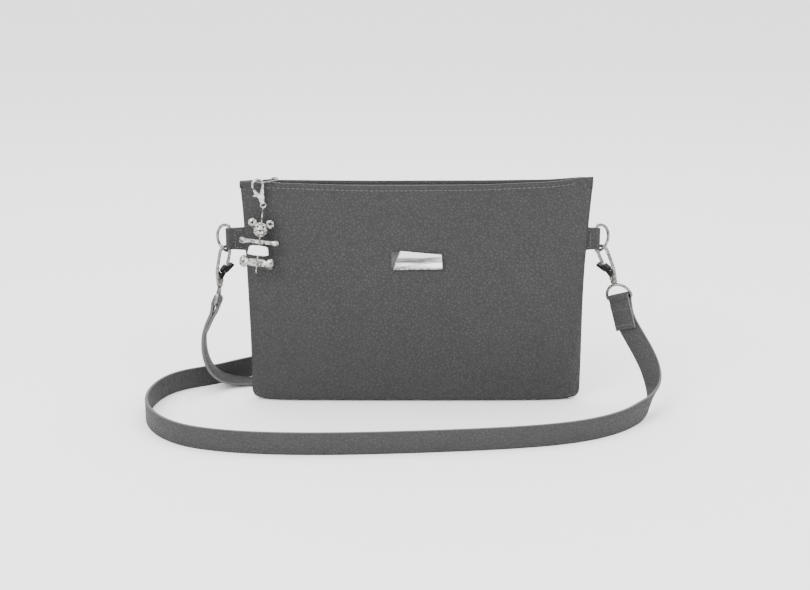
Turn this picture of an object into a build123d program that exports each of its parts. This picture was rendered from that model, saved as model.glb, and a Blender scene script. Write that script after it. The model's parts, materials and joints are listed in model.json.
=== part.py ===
from build123d import *
import os
from math import atan2, ceil, cos, pi, radians, sin, sqrt, tan

os.makedirs("parts", exist_ok=True)

# Frame: origin at the middle of the bag's base, +X to the right as seen from the front,
# +Y to the back, +Z up. All sizes are in millimetres.

# ---- driving dimensions ----
bag_height = 161.0
top_width = 249.0
base_width = 239.5
belly_depth = 28.0
mouth_depth = 13.0
foot_depth = 13.0
corner_round = 8.0
belly_share = 0.35          # height of the belly, as a share of the bag's height
leather = 1.5
lining = 0.4
lining_gap = 0.1
seam_edge = 2.2             # half thickness of the bag at its side seam
seam = 6.0                  # seam allowance inside the side seam
shoulder = 18.0             # run from the side seam to the full depth
fit = 0.15                  # clearance between pieces of one body
run_gap = 0.3               # clearance between pieces that move past each other

tape_thick = 0.5
tape_drop = 4.2             # tape top below the panels' top edge
coil_high = 2.1
coil_wide = 2.3
coil_gap = 0.3
end_tab_length = 13.5
end_tab_rise = {"left": 0.3, "right": 2.2}

slider_x = -99.8
slider_length = 8.0
slider_plate = 1.0
slider_travel = 190.0
crown_wide = 1.0
crown_rise = 3.0            # inner height of the crown over the slider's plate
pull_wire = 1.1
pull_length = 16.0          # between the middles of the two end bars
pull_wide = 6.6             # between the middles of the two side bars
pull_turn = 42.0            # degrees that the pull is swung to the front

wire = 2.2
ring_inner = 16.6
ring_stub = 3.0
ring_turn = 40.0            # degrees that each ring is swung to the back
strap_wide = 15.5
strap_thick = 2.2
tab_wide_in = 17.5
tab_wide_out = 15.2
tab_leather = 1.3

hook_thick = 2.8
hook_inner = 6.0
hook_flank = 2.0
hook_drop = 27.5            # from the ring's wire down to the end of the barrel
barrel_r = 2.5
stud_r = 1.0
loop_stub = 1.6
trigger_thick = 3.4
rivet_r = 0.8

plate_long = 36.0
plate_high = 13.2
plate_thick = 1.2
plate_at = (0.4, 106.8)     # X and height of the trim plate's middle

clasp_thick = 1.7
pin_wire = 0.9
pin_bore = 0.6

half_ring = (ring_inner + wire) / 2
loop_drop = hook_drop + run_gap + wire / 2 + half_ring + loop_stub  # ring's wire to the loop's bar
tab_z = bag_height - 41.0
tape_top = bag_height - tape_drop
coil_mid = tape_top + 0.1 + coil_high / 2
top_edge_half = mouth_depth / 2


def half_depth(height):
    """Half of the bag's outer depth at a height, from the foot over the belly to the mouth."""
    share = height / bag_height
    belly = belly_depth / 2
    if share < belly_share:
        foot = foot_depth / 2
        return foot + (belly - foot) * sqrt(max(0.0, 1 - (1 - share / belly_share) ** 2))
    turn = pi * (share - belly_share) / (1 - belly_share)
    return top_edge_half + (belly - top_edge_half) * (cos(turn) + 1) / 2


def half_width(height):
    """Half of the bag's outer width at a height, with the round lower corners."""
    flare = (top_width - base_width) / 2 * min(1.0, height / bag_height) ** 3
    below = max(0.0, corner_round - height)
    return base_width / 2 + flare - corner_round + sqrt(corner_round**2 - below**2)


def half_lens(wide, deep, inset, side, level):
    """Plan section of one half of the bag, set in by a wall. side is -1 in front, 1 behind."""
    turn = 0.86 * deep
    slope = (turn - seam_edge) / shoulder
    x_edge = wide - (seam if inset else 0)
    y_edge = seam_edge + slope * (wide - x_edge) - 1.2 * inset
    x_turn = wide - shoulder - 0.6 * inset
    with BuildSketch(Plane.XY.offset(level)) as section:
        with BuildLine():
            Polyline((-x_turn, side * (turn - inset)), (-x_edge, side * y_edge), (-x_edge, 0),
                     (x_edge, 0), (x_edge, side * y_edge), (x_turn, side * (turn - inset)))
            ThreePointArc((-x_turn, side * (turn - inset)), (0, side * (deep - inset)),
                          (x_turn, side * (turn - inset)))
        make_face()
    return section.sketch


def shell_sections(side, inset, floor, overshoot=0.0):
    """Sections of one half of the bag from a floor up to the mouth, or past it."""
    corner = [0.012, 0.03] if inset == 0 else []
    shares = corner + [0.055, 0.13, 0.24, 0.35, 0.47, 0.59, 0.71, 0.82, 0.92, 1.0]
    heights = [floor] + [share * bag_height for share in shares]
    narrower = [max(0.0, floor - leather)] + [0.0] * len(shares)
    sections = [half_lens(half_width(h) - less, half_depth(h), inset, side, h)
                for h, less in zip(heights, narrower)]
    if overshoot:
        sections.append(half_lens(half_width(bag_height), half_depth(bag_height), inset, side,
                                  bag_height + overshoot))
    return sections


def front_y(height):
    """Y of the front panel's outer face on the middle line."""
    return -half_depth(height)


# ---- leather panels and lining ----
slot_x = half_width(tab_z) - seam
tab_slot = [(s * (slot_x + seam), 0, tab_z) for s in (-1, 1)]
trim_normal = Vector(0, -1, (half_depth(plate_at[1] - 5) - half_depth(plate_at[1] + 5)) / 10)
trim_face = Vector(plate_at[0], front_y(plate_at[1]), plate_at[1])
trim_plane = Plane(origin=trim_face, x_dir=(1, 0, 0), z_dir=trim_normal)
prong_at = [(-plate_long / 4, 0), (plate_long / 4, 0)]
prong_long, prong_thick = 0.9, 3.0

for name, side in (("front_panel", -1), ("back_panel", 1)):
    with BuildPart() as panel:
        loft(sections=shell_sections(side, 0.0, 0.0), ruled=True)
        loft(sections=shell_sections(side, leather, leather, 1.0), ruled=True, mode=Mode.SUBTRACT)
        with Locations(*tab_slot):
            Box(2 * seam + 2 * fit, 2 * (tab_leather + fit), tab_wide_in + 2 * fit,
                mode=Mode.SUBTRACT)
        if side < 0:
            with BuildSketch(trim_plane.offset(-3 * leather)):
                with Locations(*prong_at):
                    Rectangle(prong_long + 2 * fit, prong_thick + 2 * fit)
            extrude(amount=6 * leather, mode=Mode.SUBTRACT)
    panel.part.label = name
    export_step(panel.part, f"parts/{name}.step")

lining_out = leather + lining_gap
lining_in = lining_out + lining
for name, side in (("lining_front", -1), ("lining_back", 1)):
    with BuildPart() as cloth:
        loft(sections=shell_sections(side, lining_out, lining_out), ruled=True)
        loft(sections=shell_sections(side, lining_in, lining_in, 1.0), ruled=True,
             mode=Mode.SUBTRACT)
        with Locations((0, 0, tape_top + bag_height / 2 - tape_thick - fit)):
            Box(2 * top_width, 4 * belly_depth, bag_height, mode=Mode.SUBTRACT)
        if side < 0:
            with BuildSketch(trim_plane.offset(-3 * leather)):
                with Locations(*prong_at):
                    Rectangle(prong_long + 2 * fit, prong_thick + 2 * fit)
            extrude(amount=6 * leather, mode=Mode.SUBTRACT)
    cloth.part.label = name
    export_step(cloth.part, f"parts/{name}.step")

# ---- zip: tapes, coils, end tabs ----
mouth_inset = leather + fit
mouth_wide = half_width(tape_top - tape_thick) - fit
neck_half = 0.6
tape_edge = neck_half + run_gap
for name, side in (("zip_tape_front", -1), ("zip_tape_back", 1)):
    with BuildPart() as tape:
        add(half_lens(mouth_wide, top_edge_half, mouth_inset, side, tape_top - tape_thick))
        extrude(amount=tape_thick)
        with Locations((0, 0, tape_top)):
            Box(2 * top_width, 2 * tape_edge, 4 * tape_thick, mode=Mode.SUBTRACT)
    tape.part.label = name
    export_step(tape.part, f"parts/{name}.step")

coil_end = half_width(bag_height) - end_tab_length - 1.2
neck_x = slider_x - slider_length / 2 + 1.2
coil_start = neck_x + neck_half + run_gap
for name, side in (("zip_coil_front", -1), ("zip_coil_back", 1)):
    with BuildPart() as coil:
        with BuildSketch(Plane.YZ.offset(coil_start)):
            with Locations((side * (coil_gap / 2 + coil_wide / 2), coil_mid)):
                RectangleRounded(coil_wide, coil_high, 0.7)
        extrude(amount=coil_end - coil_start)
    coil.part.label = name
    export_step(coil.part, f"parts/{name}.step")

for name, s in (("left", -1), ("right", 1)):
    with BuildPart() as end_tab:
        for side in (-1, 1):
            add(half_lens(mouth_wide, top_edge_half, mouth_inset, side, tape_top + fit))
            extrude(amount=tape_drop + end_tab_rise[name] - fit)
        with Locations((s * (half_width(bag_height) - end_tab_length - top_width), 0, bag_height)):
            Box(2 * top_width, 2 * mouth_depth, 40, mode=Mode.SUBTRACT)
    end_tab.part.label = f"zip_end_tab_{name}"
    export_step(end_tab.part, f"parts/zip_end_tab_{name}.step")

# ---- zip slider ----
flange_in = coil_gap / 2 + coil_wide + run_gap
slider_half = flange_in + 0.5
plate_low = coil_mid + coil_high / 2 + run_gap
plate_top = plate_low + slider_plate
under_top = tape_top - tape_thick - run_gap
with BuildPart() as zip_slider:
    with BuildSketch(Plane.XY.offset(plate_low)):
        with Locations((slider_x, 0)):
            SlotOverall(slider_length, 2 * slider_half)
    extrude(amount=slider_plate)
    with BuildSketch(Plane.XY.offset(under_top - slider_plate)):
        with Locations((slider_x, 0)):
            SlotOverall(slider_length, 2 * slider_half - 0.8)
    extrude(amount=slider_plate)
    with Locations((neck_x, 0, (plate_low + under_top) / 2)):
        Box(2 * neck_half, 2 * neck_half, plate_low - under_top + 0.2)
    with Locations(*((slider_x, side * (flange_in + 0.25), (plate_low + tape_top) / 2 + run_gap)
                     for side in (-1, 1))):
        Box(slider_length * 0.5, 0.5, plate_low - tape_top - run_gap)
    with BuildSketch(Plane.XZ.offset(-crown_wide / 2)):
        with Locations((slider_x, plate_top)):
            RectangleRounded(5.2, 2 * crown_rise + 1.8, 1.6)
            RectangleRounded(3.6, 2 * crown_rise, 0.8, mode=Mode.SUBTRACT)
            with Locations((0, -4.1)):
                Rectangle(8, 8, mode=Mode.SUBTRACT)
    extrude(amount=crown_wide)
zip_slider.part.label = "zip_slider"
export_step(zip_slider.part, "parts/zip_slider.step")

# ---- zip pull: a long wire link through the slider's crown ----
pull_dir = Vector(-cos(radians(pull_turn)), -sin(radians(pull_turn)), 0)
pull_start = Vector(slider_x + 0.5, 0, plate_top + crown_rise - pull_wire / 2 - run_gap)
pull_plane = Plane(origin=pull_start, x_dir=pull_dir, z_dir=Vector(0, 0, 1))
pull_end = pull_start + pull_dir * pull_length
pull_r = pull_wide / 2
with BuildLine(pull_plane) as pull_outline:
    Line((pull_r, -pull_r), (pull_length - pull_r, -pull_r))
    ThreePointArc((pull_length - pull_r, -pull_r), (pull_length, 0), (pull_length - pull_r, pull_r))
    Line((pull_length - pull_r, pull_r), (pull_r, pull_r))
    ThreePointArc((pull_r, pull_r), (0, 0), (pull_r, -pull_r))
pull_path = pull_outline.wire()
with BuildPart() as zip_pull:
    with BuildSketch(Plane(origin=pull_path @ 0, z_dir=pull_path % 0)):
        Circle(pull_wire / 2)
    sweep(path=pull_path)
zip_pull.part.label = "zip_pull"
export_step(zip_pull.part, "parts/zip_pull.step")

# ---- lobster clasp, hung on the pull ----
clasp_tilt = 14.0           # degrees that the clasp's foot hangs to the right
clasp_yaw = 20.0            # degrees that it is turned towards the pull
clasp_plane = Plane(origin=pull_end,
                    x_dir=(cos(radians(clasp_tilt)) * cos(radians(clasp_yaw)),
                           cos(radians(clasp_tilt)) * sin(radians(clasp_yaw)),
                           sin(radians(clasp_tilt))),
                    z_dir=(sin(radians(clasp_yaw)), -cos(radians(clasp_yaw)), 0))
arch_in = 2.9
arch_top = pull_wire / 2 + 0.45
arch_mid = arch_top - arch_in
clasp_bottom = -16.2
eye_mid = -16.9
eye_hole, eye_rim = 1.25, 2.35
lever_pivot = (-0.6, -11.6)
with BuildPart() as clasp_body:
    with BuildSketch(clasp_plane.offset(-clasp_thick / 2)):
        with BuildLine():
            Polyline((-arch_in - 1.7, arch_mid), (-1.9, clasp_bottom), (1.9, clasp_bottom),
                     (arch_in + 1.7, arch_mid))
            ThreePointArc((-arch_in - 1.7, arch_mid), (0, arch_top + 1.7),
                          (arch_in + 1.7, arch_mid))
        make_face()
        with BuildLine():
            Polyline((-arch_in, arch_mid), (0, arch_mid - 6.5), (arch_in, arch_mid))
            ThreePointArc((-arch_in, arch_mid), (0, arch_top), (arch_in, arch_mid))
        make_face(mode=Mode.SUBTRACT)
        with BuildLine():
            Polyline((-7, arch_mid - 1.6), (-1.6, arch_mid - 1.6), (-1.2, -9.4), (-7, -9.4),
                     close=True)
        make_face(mode=Mode.SUBTRACT)
    extrude(amount=clasp_thick)
    with BuildSketch(clasp_plane.offset(-0.6)):
        with BuildLine():
            Polyline((-7, arch_mid), (0.9, arch_mid - 4.6), (0.9, -13.6), (-7, -13.6), close=True)
        make_face()
    extrude(amount=1.2, mode=Mode.SUBTRACT)
    with BuildSketch(clasp_plane.offset(-0.5)):
        with Locations((0, eye_mid)):
            Circle(eye_rim)
    extrude(amount=1.0)
    with BuildSketch(clasp_plane.offset(-3)):
        with Locations((0, eye_mid)):
            Circle(eye_hole)
        with Locations(lever_pivot):
            Circle(0.55)
    extrude(amount=6, mode=Mode.SUBTRACT)
clasp_body.part.label = "clasp_body"
export_step(clasp_body.part, "parts/clasp_body.step")

with BuildPart() as clasp_rivet:
    with BuildSketch(clasp_plane.offset(-clasp_thick / 2 - 0.2)):
        with Locations(lever_pivot):
            Circle(0.55)
    extrude(amount=clasp_thick + 0.4)
clasp_rivet.part.label = "clasp_rivet"
export_step(clasp_rivet.part, "parts/clasp_rivet.step")

with BuildPart() as clasp_lever:
    with BuildSketch(clasp_plane.offset(-0.45)):
        with BuildLine():
            Polyline((-4.3, arch_mid - 2.4), (-3.1, arch_mid - 2.2), (0.2, -10.4), (0.3, -12.4),
                     (-1.2, -12.8), (-3.0, -9.6), (-5.3, -9.0), (-5.1, -7.9), (-3.7, -8.0),
                     close=True)
        make_face()
        with Locations(lever_pivot):
            Circle(0.62, mode=Mode.SUBTRACT)
    extrude(amount=0.9)
clasp_lever.part.label = "clasp_lever"
export_step(clasp_lever.part, "parts/clasp_lever.step")

with BuildPart() as clasp_spring:
    with BuildSketch(clasp_plane.offset(-0.3)):
        with BuildLine():
            Polyline((0.65, -9.3), (0.62, -11.2), (0.6, -13.3), (-0.9, -13.35))
        trace(line_width=0.24)
    extrude(amount=0.6)
clasp_spring.part.label = "clasp_spring"
export_step(clasp_spring.part, "parts/clasp_spring.step")

# ---- head pin and the bear threaded on it ----
eye_centre = clasp_plane.from_local_coords(Vector(0, eye_mid, 0))
sway_point = eye_centre - Vector(0, 0, eye_hole - pin_wire / 2 - run_gap)
pin_dir = Vector(-5.2, -10.0, -45).normalized()
pin_loop_r = 1.75
pin_centre = sway_point + pin_dir * pin_loop_r
pin_plane = Plane(origin=pin_centre, x_dir=Vector(0, -1, 0.14), z_dir=-pin_dir)
loop_plane = Plane(origin=pin_centre, x_dir=-pin_dir, z_dir=Vector(1, 0, 0) - pin_dir * pin_dir.X)
pin_length = 43.5
with BuildLine(loop_plane) as pin_loop:
    CenterArc((0, 0), pin_loop_r, 0, 360)
pin_path = pin_loop.wire()
with BuildPart() as charm_pin:
    with BuildSketch(Plane(origin=pin_path @ 0, z_dir=pin_path % 0)):
        Circle(pin_wire / 2)
    sweep(path=pin_path)
    with BuildSketch(pin_plane.offset(-pin_loop_r)):
        Circle(pin_wire / 2)
    extrude(amount=-pin_length)
    with BuildSketch(pin_plane.offset(-pin_loop_r - pin_length)):
        Circle(pin_wire)
    extrude(amount=-0.6)
charm_pin.part.label = "charm_pin"
export_step(charm_pin.part, "parts/charm_pin.step")

# Each piece of the bear is drawn across the pin: X along the arms, Y to the front, Z up the pin.
bear_up = -pin_dir
bear_plane = Plane(origin=pin_centre, x_dir=Vector(1, 0, -pin_dir.X / pin_dir.Z), z_dir=bear_up)
bear_front = Plane(origin=pin_centre, x_dir=bear_plane.x_dir, z_dir=-bear_plane.y_dir)
head_low, head_high = -21.0, -9.0
arms_low, arms_high = -25.8, -21.3
bead_low, bead_high = -33.6, -26.1
legs_low, legs_high = -42.6, -33.9

with BuildPart() as bear_head:
    with BuildSketch(bear_front.offset(-3.0)):
        with Locations((0, (head_low + head_high) / 2)):
            Ellipse(5.0, (head_high - head_low) / 2)
    extrude(amount=6.0)
    fillet(bear_head.edges(), 2.0)
    with BuildSketch(bear_front.offset(-1.1)):
        with Locations((-6.3, head_high - 2.9), (6.3, head_high - 2.9)):
            Circle(2.9)
    extrude(amount=2.2)
    with Locations(bear_front.from_local_coords(Vector(0, head_low + 4.6, 2.3))):
        Sphere(2.2)
    with BuildSketch(bear_plane.offset(head_low - 1)):
        Circle(pin_bore)
    extrude(amount=14, mode=Mode.SUBTRACT)
bear_head.part.label = "bear_head"
export_step(bear_head.part, "parts/bear_head.step")

with BuildPart() as bear_arms:
    with BuildSketch(bear_plane.offset(arms_low)):
        RectangleRounded(28.6, 3.0, 1.4)
    extrude(amount=arms_high - arms_low)
    with BuildSketch(bear_plane.offset(arms_low - 1)):
        Circle(pin_bore)
    extrude(amount=7, mode=Mode.SUBTRACT)
bear_arms.part.label = "bear_arms"
export_step(bear_arms.part, "parts/bear_arms.step")

with BuildPart() as bear_body:
    with BuildSketch(bear_plane.offset(bead_low)):
        RectangleRounded(15.6, 6.6, 2.8)
    with BuildSketch(bear_plane.offset(bead_high)):
        RectangleRounded(13.2, 5.6, 2.5)
    loft(ruled=True)
    with BuildSketch(bear_plane.offset(bead_low - 1)):
        Circle(pin_bore)
    extrude(amount=10, mode=Mode.SUBTRACT)
bear_body.part.label = "bear_body"
export_step(bear_body.part, "parts/bear_body.step")

with BuildPart() as bear_legs:
    with BuildSketch(bear_plane.offset((legs_low + legs_high) / 2 - 2.6)):
        RectangleRounded(22.0, 5.2, 2.4)
    extrude(amount=5.2)
    with BuildSketch(bear_front.offset(-2.8)):
        with Locations((-9.4, (legs_low + legs_high) / 2), (9.4, (legs_low + legs_high) / 2)):
            Ellipse(2.9, (legs_high - legs_low) / 2)
    extrude(amount=5.6)
    with BuildSketch(bear_plane.offset(legs_low - 1)):
        Circle(pin_bore)
    extrude(amount=11, mode=Mode.SUBTRACT)
bear_legs.part.label = "bear_legs"
export_step(bear_legs.part, "parts/bear_legs.step")

# ---- trim plate on the front, its base with prongs, and the washer inside ----
plate_half, plate_rise = plate_long / 2, plate_high / 2
with BuildPart() as trim_base:
    with BuildSketch(trim_plane.offset(run_gap)):
        with Locations((-plate_half + 4.5, 0)):
            RectangleRounded(9.0, plate_high - 1.8, 0.6)
        with Locations((plate_half / 2, 0)):
            RectangleRounded(plate_half, plate_high - 3.2, 0.6)
        Rectangle(plate_half, plate_high / 2)
    extrude(amount=plate_thick)
    with BuildSketch(trim_plane.offset(run_gap)):
        with Locations(*prong_at):
            Rectangle(prong_long, prong_thick)
    extrude(amount=-(leather + lining + 2.4))
trim_base.part.label = "trim_base"
export_step(trim_base.part, "parts/trim_base.step")

with BuildPart() as trim_plate:
    with BuildSketch(trim_plane.offset(run_gap + plate_thick + 0.05)):
        with BuildLine():
            Polyline((-plate_half + 1.6, -plate_rise), (plate_half, -plate_rise + 0.6),
                     (plate_half - 0.6, plate_rise - 2.6), (-plate_half + 6.6, plate_rise),
                     close=True)
        make_face()
    extrude(amount=plate_thick)
trim_plate.part.label = "trim_plate"
export_step(trim_plate.part, "parts/trim_plate.step")

with BuildPart() as trim_washer:
    with BuildSketch(trim_plane.offset(-(leather + lining_gap + lining) - 0.4)):
        RectangleRounded(plate_half + 6, plate_high - 4, 2)
        with Locations(*prong_at):
            Rectangle(prong_long + fit, prong_thick + fit, mode=Mode.SUBTRACT)
    extrude(amount=-0.5)
trim_washer.part.label = "trim_washer"
export_step(trim_washer.part, "parts/trim_washer.step")

# ---- side tabs, D-rings, snap hooks and swivel loops ----
# side: name, sign of X, the ring's bar X, the hook's lean out, its lean back, the loop's turn
sides = (
    ("left", -1, 133.0, 11.0, 5.0, 90.0),
    ("right", 1, 128.5, 22.0, 4.0, 30.0),
)
hook_yaw = 38.0             # degrees that the hook's back is turned to the front
arch_gap = 0.8              # over the ring's wire, for the wire crosses the hook at a slant
eye_r = wire / 2 + 0.25
strap_bar, strap_axis, strap_across = {}, {}, {}


def d_outline(plane, stub):
    """Centre line of a D-shaped wire loop: its bar on the plane's Y axis, its bow to +X."""
    bend, high = 1.4, half_ring
    mid = bend * (1 - sqrt(0.5))
    with BuildLine(plane) as outline:
        Line((0, bend - high), (0, high - bend))
        ThreePointArc((0, high - bend), (mid, high - mid), (bend, high))
        Line((bend, high), (stub, high))
        ThreePointArc((stub, high), (stub + high, 0), (stub, -high))
        Line((stub, -high), (bend, -high))
        ThreePointArc((bend, -high), (mid, mid - high), (0, bend - high))
    return outline.wire()


for name, s, bar_x, lean_out, lean_back, loop_turn in sides:
    bar = Vector(s * bar_x, 0, tab_z)
    out = Vector(s * cos(radians(ring_turn)), sin(radians(ring_turn)), 0)

    tab_in = slot_x + fit
    eye_out = eye_r + tab_leather
    with BuildPart() as side_tab:
        with BuildSketch(Plane.XZ):
            with BuildLine():
                Polyline((s * tab_in, tab_z - tab_wide_in / 2), (s * bar_x, tab_z - tab_wide_out / 2),
                         (s * (bar_x + 5), tab_z - tab_wide_out / 2),
                         (s * (bar_x + 5), tab_z + tab_wide_out / 2),
                         (s * bar_x, tab_z + tab_wide_out / 2), (s * tab_in, tab_z + tab_wide_in / 2),
                         close=True)
            make_face()
        extrude(amount=10, both=True)
        with BuildSketch(Plane.XY.offset(tab_z - tab_wide_in)):
            with BuildLine():
                Polyline((s * tab_in, tab_leather), (s * (bar_x - 3.4), tab_leather),
                         (s * (bar_x - 0.6), eye_out))
                ThreePointArc((s * (bar_x - 0.6), eye_out), (s * (bar_x + eye_out), 0),
                              (s * (bar_x - 0.6), -eye_out))
                Polyline((s * (bar_x - 0.6), -eye_out), (s * (bar_x - 3.4), -tab_leather),
                         (s * tab_in, -tab_leather), (s * tab_in, tab_leather))
            make_face()
            with Locations((s * bar_x, 0)):
                Circle(eye_r, mode=Mode.SUBTRACT)
        extrude(amount=2 * tab_wide_in, mode=Mode.INTERSECT)
    side_tab.part.label = f"side_tab_{name}"
    export_step(side_tab.part, f"parts/side_tab_{name}.step")

    ring_path = d_outline(Plane(origin=bar, x_dir=out, z_dir=out.cross(Vector(0, 0, 1))), ring_stub)
    with BuildPart() as d_ring:
        with BuildSketch(Plane(origin=ring_path @ 0, z_dir=ring_path % 0)):
            Circle(wire / 2)
        sweep(path=ring_path)
    d_ring.part.label = f"d_ring_{name}"
    export_step(d_ring.part, f"parts/d_ring_{name}.step")

    # The hook hangs on the ring's wire; its own Y axis points up its length, its X to its back.
    down = Vector(s * sin(radians(lean_out)), sin(radians(lean_back)), -1)
    down = Vector(down.X, down.Y, -sqrt(1 - down.X**2 - down.Y**2))
    on_bow = atan2(out.dot(down), -down.Z)
    hang = bar + out * (ring_stub + half_ring * sin(on_bow)) - Vector(0, 0, half_ring * cos(on_bow))
    back = Vector(s * cos(radians(hook_yaw)), -sin(radians(hook_yaw)), 0)
    back = (back - down * back.dot(down)).normalized()
    face = Plane(origin=hang, x_dir=back, z_dir=back.cross(-down))
    arch = wire / 2 + arch_gap - hook_inner / 2
    inner, outer = hook_inner / 2, hook_inner / 2 + hook_flank
    rivet_at = (-1.3, -15.7)

    with BuildPart() as hook_frame:
        with BuildSketch(face.offset(-hook_thick / 2)):
            with BuildLine():
                Polyline((-outer, arch), (-outer + 0.4, -11.4), (-inner + 0.9, -11.4), (-inner, arch))
                ThreePointArc((-inner, arch), (0, arch + inner), (inner, arch))
                Polyline((inner, arch), (inner, -18.5), (-1.6, -21.5), (-2.2, -hook_drop + 3),
                         (outer - 0.5, -hook_drop + 3), (outer, arch))
                ThreePointArc((outer, arch), (0, arch + outer), (-outer, arch))
            make_face()
        extrude(amount=hook_thick)
        with BuildSketch(face.offset(-0.6)):
            with Locations(rivet_at):
                Circle(1.6)
            with Locations((rivet_at[0] + 2.6, rivet_at[1])):
                Rectangle(5.2, 2.0)
        extrude(amount=1.2)
        with BuildSketch(face.offset(-3)):
            with Locations(rivet_at):
                Circle(rivet_r)
        extrude(amount=6, mode=Mode.SUBTRACT)
        with BuildSketch(Plane(origin=hang + down * (hook_drop - 6), z_dir=down)):
            Circle(barrel_r)
        extrude(amount=6)
        with BuildSketch(face.offset(-3)):
            with Locations((0, -hook_drop + 3.2)):
                Rectangle(4.2, 3.0)
        extrude(amount=6, mode=Mode.SUBTRACT)
        with BuildSketch(Plane(origin=hang + down * (hook_drop - 4), z_dir=down)):
            Circle(stud_r + 0.08)
        extrude(amount=8, mode=Mode.SUBTRACT)
    hook_frame.part.label = f"hook_frame_{name}"
    export_step(hook_frame.part, f"parts/hook_frame_{name}.step")

    with BuildPart() as hook_rivet:
        with BuildSketch(face.offset(-trigger_thick / 2 - 0.1)):
            with Locations(rivet_at):
                Circle(rivet_r)
        extrude(amount=trigger_thick + 0.2)
        for z, way in ((-trigger_thick / 2 - 0.1, -1), (trigger_thick / 2 + 0.1, 1)):
            with BuildSketch(face.offset(z)):
                with Locations(rivet_at):
                    Circle(rivet_r + 0.35)
            extrude(amount=0.35 * way)
    hook_rivet.part.label = f"hook_rivet_{name}"
    export_step(hook_rivet.part, f"parts/hook_rivet_{name}.step")

    with BuildPart() as trigger:
        with BuildSketch(face.offset(-trigger_thick / 2)):
            with Locations(rivet_at):
                Circle(2.2)
                with Locations((-6.2, 4.2)):
                    Circle(1.2)
            wedge = [(-0.3, 4.0), (-3.4, 3.6), (-5.6, 5.0), (-6.9, 3.3), (-3.4, -0.6), (-1.0, -2.0),
                     (1.9, 1.1)]
            with BuildLine():
                Polyline(*((rivet_at[0] + x, rivet_at[1] + y) for x, y in wedge), close=True)
            make_face()
        extrude(amount=trigger_thick)
        with BuildSketch(face.offset(-0.8)):
            with Locations(rivet_at):
                Circle(2.1)
                with Locations((1.7, -1.0)):
                    Rectangle(3.4, 4.4)
        extrude(amount=1.6, mode=Mode.SUBTRACT)
        with BuildSketch(face.offset(-4)):
            with Locations(rivet_at):
                Circle(rivet_r + 0.06)
        extrude(amount=8, mode=Mode.SUBTRACT)
    trigger.part.label = f"trigger_{name}"
    export_step(trigger.part, f"parts/trigger_{name}.step")

    with BuildPart() as trigger_spring:
        with BuildSketch(face.offset(-0.5)):
            with BuildLine():
                Polyline((2.7, -14.5), (1.0, -14.45), (2.3, -14.05))
            trace(line_width=0.18)
        extrude(amount=1.0)
    trigger_spring.part.label = f"trigger_spring_{name}"
    export_step(trigger_spring.part, f"parts/trigger_spring_{name}.step")

    # The loop's bar runs along across; its bow points up to the stud.
    loop_bar = hang + down * loop_drop
    level = Vector(s * 1.0, 0, 0)
    level = (level - down * level.dot(down)).normalized()
    across = level * cos(radians(loop_turn)) - Vector(0, sin(radians(loop_turn)), 0)
    across = (across - down * across.dot(down)).normalized()
    loop_path = d_outline(Plane(origin=loop_bar, x_dir=-down, z_dir=(-down).cross(across)), loop_stub)
    stud_top = hook_drop - 2.1
    with BuildPart() as swivel_loop:
        with BuildSketch(Plane(origin=loop_path @ 0, z_dir=loop_path % 0)):
            Circle(wire / 2)
        sweep(path=loop_path)
        with BuildSketch(Plane(origin=hang + down * stud_top, z_dir=down)):
            Circle(stud_r)
        extrude(amount=loop_drop - loop_stub - half_ring - stud_top)
        with BuildSketch(Plane(origin=hang + down * (stud_top - 1.4), z_dir=down)):
            Circle(1.75)
        extrude(amount=1.5)
        with BuildSketch(Plane(origin=hang + down * (hook_drop + run_gap), z_dir=down)):
            Circle(1.7)
        extrude(amount=1.0)
    swivel_loop.part.label = f"swivel_loop_{name}"
    export_step(swivel_loop.part, f"parts/swivel_loop_{name}.step")

    strap_bar[name], strap_axis[name], strap_across[name] = loop_bar, down, across
    print(name, "ring bar", bar, "hang", hang, "down", down, "tangent",
          out * cos(on_bow) + Vector(0, 0, sin(on_bow)), "bar", loop_bar, "across", across,
          "rivet", face.from_local_coords(Vector(*rivet_at, 0)), "face", face.z_dir)

# ---- strap: one leather strip from the right loop round the floor to the left loop ----
# Points of its middle line, chosen by hand. It stands on its edge and lies flat only behind.
right_bar, left_bar = strap_bar["right"], strap_bar["left"]
right_way = strap_axis["right"] * 0.935 + strap_axis["right"].cross(strap_across["right"]) * 0.354
right_next = right_bar + right_way * 14.5
route = [
    (right_bar.X, right_bar.Y, right_bar.Z), (right_next.X, right_next.Y, right_next.Z),
    (157.5, -2.5, 49.0), (164.5, -8.0, 37.5), (169.5, -15.5, 26.5), (170.0, -27.0, 16.5),
    (165.0, -39.5, 9.6), (155.0, -54.0, 7.75), (139.0, -73.0, 7.75), (112.0, -90.0, 7.75),
    (72.5, -101.0, 7.75), (8.6, -109.0, 7.75), (-57.0, -113.5, 7.75), (-103.0, -112.0, 7.75),
    (-133.0, -106.5, 7.75), (-157.0, -97.0, 7.75), (-174.0, -81.0, 7.75), (-185.5, -61.0, 7.75),
    (-191.0, -38.0, 7.75), (-190.0, -14.0, 7.75), (-184.0, 6.0, 7.75), (-173.5, 19.0, 7.75),
    (-161.0, 26.5, 7.75), (-148.0, 34.0, 7.75), (-131.0, 49.0, 7.75), (-92.0, 76.0, 7.75),
    (-42.0, 101.0, 7.75), (8.0, 116.0, 7.75), (48.0, 117.0, 7.75), (75.0, 98.0, 7.75),
    (79.0, 70.0, 7.75), (60.0, 46.0, 7.75), (20.0, 38.0, 7.75), (-35.0, 37.0, 8.0),
    (-88.0, 35.5, 2.4), (-120.0, 34.0, 1.3), (-137.0, 30.0, 3.6), (-147.0, 21.0, 10.0),
    (-153.5, 13.5, 21.0), (-156.0, 9.0, 37.0), (-153.6, 7.6, 55.0),
    (left_bar.X, left_bar.Y, left_bar.Z),
]
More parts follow.
